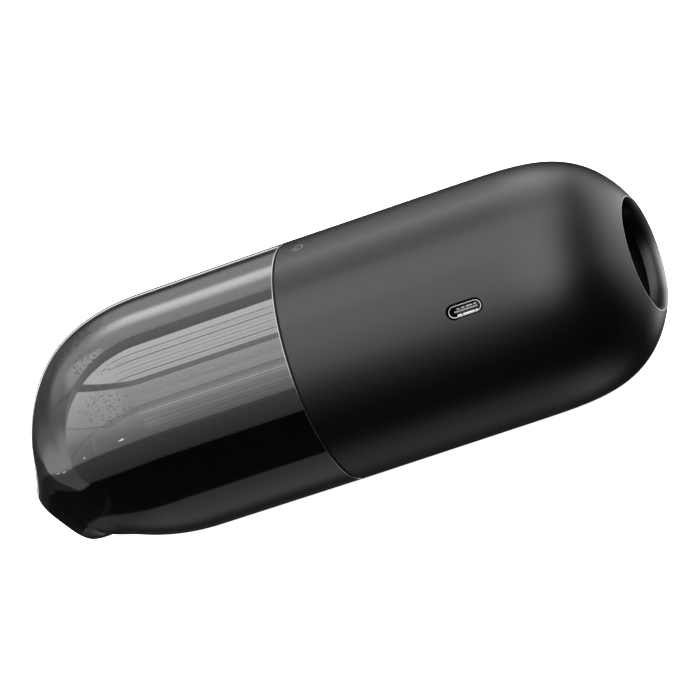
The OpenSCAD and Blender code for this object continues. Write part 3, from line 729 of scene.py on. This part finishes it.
# ------------------------------------------------------------------ studio light
# A room of soft light: glazed panels overhead with dark bars between them, a softer back,
# a dark ground with a low glow, a soft light behind the rear end, and a strip that draws the
# upper outline. Directions are mapped on a plane seen along the nozzle's way: qx towards the
# back, qy up. Round the barrel they count by their angle about its axis.
world = bpy.data.worlds.new("studio")
scene.world = world
world.use_nodes = True
wt = world.node_tree
wt.nodes.clear()


class E:
    """A number in the world's node tree, with the usual arithmetic."""
    def __init__(self, sock):
        self.s = sock

    @staticmethod
    def op(kind, *args):
        n = wt.nodes.new("ShaderNodeMath")
        n.operation = kind
        for i, q in enumerate(args):
            if isinstance(q, E):
                wt.links.new(q.s, n.inputs[i])
            else:
                n.inputs[i].default_value = q
        return E(n.outputs[0])

    def __add__(self, o): return E.op("ADD", self, o)
    __radd__ = __add__
    def __sub__(self, o): return E.op("SUBTRACT", self, o)
    def __rsub__(self, o): return E.op("SUBTRACT", o, self)
    def __mul__(self, o): return E.op("MULTIPLY", self, o)
    __rmul__ = __mul__
    def __truediv__(self, o): return E.op("DIVIDE", self, o)
    def __pow__(self, o): return E.op("POWER", self, o)


def step(v, lo, hi, a=0.0, b=1.0):
    """Eases from a at lo to b at hi."""
    n = wt.nodes.new("ShaderNodeMapRange")
    n.interpolation_type = "SMOOTHSTEP"
    for i, q in enumerate((lo, hi, a, b)):
        n.inputs[i + 1].default_value = q
    wt.links.new(v.s, n.inputs[0])
    return E(n.outputs[0])


def band(v, lo, hi, soft):
    return step(v, lo - soft, lo + soft) * step(v, hi - soft, hi + soft, 1.0, 0.0)


def mix(a, b, f):
    return (b - a) * f + a


def step_lin(v, lo, hi):
    n = wt.nodes.new("ShaderNodeMapRange")
    n.inputs[1].default_value, n.inputs[2].default_value = lo, hi
    wt.links.new(v.s, n.inputs[0])
    return E(n.outputs[0])


def grade(v, pts):
    """A gradient through a few points (position, radiance)."""
    lo, hi, top = pts[0][0], pts[-1][0], max(q for _, q in pts)
    n = wt.nodes.new("ShaderNodeFloatCurve")
    c = n.mapping.curves[0]
    while len(c.points) < len(pts):
        c.points.new(0.5, 0.5)
    for q, (x, y) in zip(c.points, pts):
        q.location = ((x - lo) / (hi - lo), y / top)
        q.handle_type = "AUTO_CLAMPED"
    n.mapping.update()
    wt.links.new(step_lin(v, lo, hi).s, n.inputs["Value"])
    return E(n.outputs[0]) * top


def grain(x, y, scale, detail=2.0, rough=0.5):
    c = wt.nodes.new("ShaderNodeCombineXYZ")
    wt.links.new(x.s, c.inputs[0])
    wt.links.new(y.s, c.inputs[1])
    n = wt.nodes.new("ShaderNodeTexNoise")
    n.noise_dimensions = "2D"
    n.inputs["Scale"].default_value = scale
    n.inputs["Detail"].default_value = detail
    n.inputs["Roughness"].default_value = rough
    wt.links.new(c.outputs[0], n.inputs["Vector"])
    return E(n.outputs["Fac"])


def below(v, top):
    return E.op("MINIMUM", v, top)


def above(v, low):
    return E.op("MAXIMUM", v, low)


tc = wt.nodes.new("ShaderNodeTexCoord")
sx = wt.nodes.new("ShaderNodeSeparateXYZ")
wt.links.new(tc.outputs["Generated"], sx.inputs[0])
dx, dy, dz = (E(o) for o in sx.outputs)
den = (1.02 - dx) * 0.963
qx, qy = dy / den, dz / den
qr = E.op("SQRT", qx * qx + qy * qy)
qa = E.op("ARCTAN2", qx, qy) * (180 / pi)    # 0 straight up, positive towards the back
turn = E.op("ARCTAN2", dz * cos(ER) + dy * sin(ER), dz * sin(ER) - dy * cos(ER)) * (180 / pi)   # 0 at the viewer, 90 over the top


def line(x0, y0, x1, y1, wide, soft):
    """A bar of light or shade between two points of the plane."""
    l = hypot(x1 - x0, y1 - y0)
    ux, uy = (x1 - x0) / l, (y1 - y0) / l
    along = (qx - x0) * ux + (qy - y0) * uy
    across = (qx - x0) * -uy + (qy - y0) * ux
    return band(along, 0.0, l, 0.012) * band(across, -wide / 2, wide / 2, soft)


def lamp(x, y, r):
    d = E.op("SQRT", (qx - x) * (qx - x) + (qy - y) * (qy - y))
    return step(d, r * 0.6, r * 1.3, 1.0, 0.0)


# what the glossy cup shows: overhead panels, bars, dapples, streaks
e1 = qx - (qy * 0.39 - 0.203)                # edges of the broad bar overhead
e2 = qx - (qy * 0.71 - 0.253)
b1 = qy - (qx * -0.585 + 0.451)              # edges of the bar that leaves it to the front
b2 = qy - (qx * -0.564 + 0.391)
left_of, right_of = step(e1, -0.005, 0.005, 1.0, 0.0), step(e2, -0.006, 0.006)
fine = grain(qa * 0.30, qr * 1.2, 5.0, 4.0, 0.68)
dots = grain(qx, qy, 52.0, 2.0, 0.5)
outer = step(qr, 0.60, 0.70)
streaks = mix(1.0, step(fine, 0.36, 0.64, 0.84, 1.14), step(qr, 0.64, 0.74))
specks = step(dots, 0.36, 0.40, 1.0, 0.0) * step(qr, 0.66, 0.74, 1.0, 0.3)
leafy = 0.50 * band(qx, -0.58, -0.18, 0.06) * band(qy, 0.28, 0.56, 0.05) + 0.75 * band(qx, 0.08, 0.30, 0.05) * band(qy, 0.38, 0.58, 0.05)
leafy = leafy + 0.65 * band(qx, 0.34, 0.66, 0.08) * band(qy, 0.12, 0.44, 0.08) + 0.6 * band(qx, -0.08, 0.0, 0.03) * band(qy, 0.56, 0.70, 0.04)
streaks = streaks * (1.0 - specks * leafy)

high = qy + qx * 0.265 + 0.094               # height above the sill on the front side
low_sky = grade(qy, [(-0.22, 0.5), (-0.06, 0.85), (0.06, 1.15), (0.15, 1.3), (0.3, 1.4)])
front_sky = grade(high, [(0.0, 3.0), (0.1, 3.8), (0.2, 5.3), (0.3, 6.3), (0.45, 7.4), (0.6, 8.2), (0.9, 8.4)])
front_sky = front_sky * (1.0 + 0.20 * step(qr, 0.60, 0.70, 1.0, 0.0) * step(high, 0.15, 0.30))
front_sky = mix(low_sky, front_sky, step(high, -0.012, 0.012))
front_sky = front_sky * (1.0 - 0.22 * line(-0.45, 0.267, -0.115, 0.204, 0.014, 0.004)) * (1.0 - 0.16 * line(-0.27, 0.10, -0.146, 0.0875, 0.012, 0.004))
front_sky = front_sky * (1.0 - 0.20 * line(-0.66, 0.51, -0.45, 0.255, 0.06, 0.012)) * (1.0 - 0.18 * line(-0.406, 0.24, -0.208, 0.02, 0.014, 0.004))
front_sky = front_sky * (1.0 + 0.20 * line(-0.66, 0.31, -0.71, 0.18, 0.014, 0.004)) * (1.0 + 0.16 * line(-0.395, 0.17, -0.42, 0.05, 0.020, 0.004))
front_sky = front_sky + 4.0 * line(-0.74, 0.437, -0.61, 0.355, 0.012, 0.004)
panel = 11.2 - 7.0 * (0.8 * band(qa, -1.4, -0.5, 0.3) + band(qa, -8.0, -7.0, 0.3) + 0.7 * band(qa, -15.4, -14.9, 0.3) + band(qa, -23.0, -22.0, 0.3)) * outer
panel = panel * (1.0 - 0.45 * lamp(-0.035, 0.63, 0.022) * step(dots, 0.42, 0.52, 1.0, 0.0))
back_sky = grade(qr, [(0.1, 1.1), (0.27, 2.2), (0.41, 3.0), (0.58, 3.8), (0.75, 4.4), (1.0, 4.6)])
back_sky = back_sky * grade(qa, [(0, 1.0), (30, 0.95), (50, 0.66), (60, 0.46), (70, 0.30), (80, 0.16), (100, 0.05), (180, 0.05)])
back_sky = back_sky + 4.6 * band(qa, 37.0, 49.0, 5.0) * step(qr, 0.56, 0.78)
back_sky = back_sky * (1.0 - 0.45 * step(qa, 46.0, 60.0) * step(qr, 0.58, 0.70, 1.0, 0.0)) * (1.0 + 0.85 * band(qx, 0.05, 0.24, 0.03) * band(qy, 0.36, 0.58, 0.04) * step(qr, 0.64, 0.72, 1.0, 0.0))
back_sky = back_sky * (1.0 - 0.25 * line(0.012, 0.372, 0.108, 0.21, 0.014, 0.004))
low_back = grade(qx, [(-0.25, 4.6), (-0.15, 4.4), (-0.08, 3.6), (0.0, 2.1), (0.1, 1.25), (0.2, 0.7), (0.3, 0.48), (0.6, 0.45)])
back_sky = mix(low_back, back_sky, step(qy, 0.13, 0.25))
bar = grade(qy, [(0.05, 3.2), (0.28, 3.7), (0.45, 3.2), (0.6, 2.6), (0.8, 2.3)])
branch = grade(qr, [(0.3, 2.4), (0.6, 3.4), (0.8, 5.0)])
front = mix(mix(front_sky, branch, step(b2, -0.006, 0.006)), panel, step(b1, -0.005, 0.005))
sky = mix(mix(bar, back_sky * streaks, right_of) * step(high, -0.02, 0.03, 0.25, 1.0), front * streaks, left_of)

# the dark middle, the crisp edge of the ground, and the low glow further down
short = above(0.07 - qx, 0.0)
rise = qy - (0.072 - 18.5 * short * short * short)
soft = above(qx, 0.0) * 0.3 + 0.03
open_sky = mix(1.0, step(rise / soft, -1.0, 1.0, 0.22, 1.0), step(qx, -0.20, -0.16))
lit = step(qy + 0.03 * step(qx, -0.32, -0.20), -0.205, -0.180) * open_sky
glow = 0.53 * step(qy - (below(qx + 0.037, 0.0) * 0.7175 + below(above(qx + 0.037, 0.0), 0.2) * 0.3 - 0.486), -0.03, 0.012, 1.0, 0.0) * step(qx, 0.1, 0.6, 1.0, 0.06) * step(turn, -150.0, -112.0) * step(qr, 0.54, 0.68, 0.55, 1.0)
lamps = 26.0 * line(-0.594, 0.130, -0.572, 0.120, 0.012, 0.003) + 16.0 * lamp(-0.327, 0.021, 0.006) + 10.0 * lamp(-0.188, -0.042, 0.0045)
front_room = sky * lit + 0.05 + glow + lamps + 0.7 * lamp(0.547, -0.134, 0.09)

# what the soft barrel shows
def beam(x, y, z, near, far):
    l = sqrt(x * x + y * y + z * z)
    away_from = E.op("ARCCOSINE", (dx * (x / l) + dy * (y / l) + dz * (z / l)) * 0.9999) * (180 / pi)
    return step(away_from, near, far, 1.0, 0.0)


fall = step(dx, 0.2, 0.8, 1.0, 0.12)
side = step(turn - above(dx - 0.2, 0.0) * 26.0, -29.0, 12.0) * step(turn, 40.0, 80.0, 8.8, 7.6) * fall
side = side * (1.0 - 0.35 * band(turn, 76.0, 92.0, 6.0) * step(dx, 0.1, 0.4, 1.0, 0.0))
side = side * step(turn, 92.0, 158.0, 1.0, 0.0) * mix(1.0, step(dx, 0.1, 0.5, 1.0, 0.4), step(turn, 80.0, 100.0))
side = side + 3.0 * band(turn, 108.0, 130.0, 10.0) * step(dx, 0.05, 0.4, 1.0, 0.0)
side = side + 1.05 * band(turn, -132.0, -96.0, 9.0) * step(dx, -0.05, 0.42, 1.0, 0.06)
side_room = side + 5.9 * beam(0.86, 0.51, 0.03, 4.0, 45.0) + 1.4 * beam(0.45, 0.88, 0.14, 4.0, 30.0) + 1.0 * beam(1.0, -0.05, 0.05, 5.0, 20.0) + 6.0 * beam(0.45, 0.82, -0.35, 8.0, 26.0) + 0.03
room = mix(front_room, side_room, step(dx, -0.225, -0.115))

# back strip that draws a line along the cup's upper outline, with a dark gap under it
away = E.op("ARCCOSINE", (dx * float(-toward[0]) + dy * float(-toward[1]) + dz * float(-toward[2])) * 0.99999) * (180 / pi)
upper = step(dz, -0.55, -0.15)
polished = room * (1.0 - 0.66 * upper * step(away, 31.0, 36.0, 1.0, 0.0) * step(dx, -0.62, -0.40)) + 2.3 * band(away, 16.5, 22.5, 0.8) * upper
# the soft shell takes a little less from overhead
soft_top = 1.0 - 0.27 * step(turn, 74.0, 96.0) * step(dx, 0.25, 0.45, 1.0, 0.0)
matt = room * soft_top * (1.0 - 0.22 * band(turn, -20.0, 78.0, 8.0) * step(dx, -0.2, -0.05, 1.0, 0.0)) * (1.0 - 0.12 * band(turn, 48.0, 82.0, 6.0) * step(dx, -0.2, -0.05, 1.0, 0.0)) * (1.0 - upper * step(away, 14.0, 34.0, 1.0, 0.0) * step(dx, -0.05, 0.15, 1.0, 0.0))

lp = wt.nodes.new("ShaderNodeLightPath")
camera_ray = lp.outputs["Is Camera Ray"]
room = mix(matt, polished, E(lp.outputs["Is Singular Ray"]))
bg = wt.nodes.new("ShaderNodeBackground")
wt.links.new(room.s, bg.inputs["Strength"])
pale = wt.nodes.new("ShaderNodeBackground")
pale.inputs["Strength"].default_value = 1.0
ms = wt.nodes.new("ShaderNodeMixShader")
wt.links.new(camera_ray, ms.inputs[0])
wt.links.new(bg.outputs[0], ms.inputs[1])
wt.links.new(pale.outputs[0], ms.inputs[2])
wo = wt.nodes.new("ShaderNodeOutputWorld")
wt.links.new(ms.outputs[0], wo.inputs[0])

# ------------------------------------------------------------------ floor
fl = bpy.data.meshes.new("floor")
s = 8.0
fl.from_pydata([(-s, -s, -0.0002), (s, -s, -0.0002), (s, s, -0.0002), (-s, s, -0.0002)], [], [(0, 1, 2, 3)])
floor = bpy.data.objects.new("floor", fl)
scene.collection.objects.link(floor)
fm = Nodes("floor_pale")
fm.set(color=(0.8, 0.8, 0.8), rough=0.9)
fm.b.inputs["Emission Color"].default_value = (1, 1, 1, 1)
fm.b.inputs["Emission Strength"].default_value = 0.92
fl.materials.append(fm.mat)
floor.visible_glossy = floor.visible_diffuse = floor.visible_transmission = False

scene.view_settings.view_transform = "Standard"
scene.view_settings.look = "None"
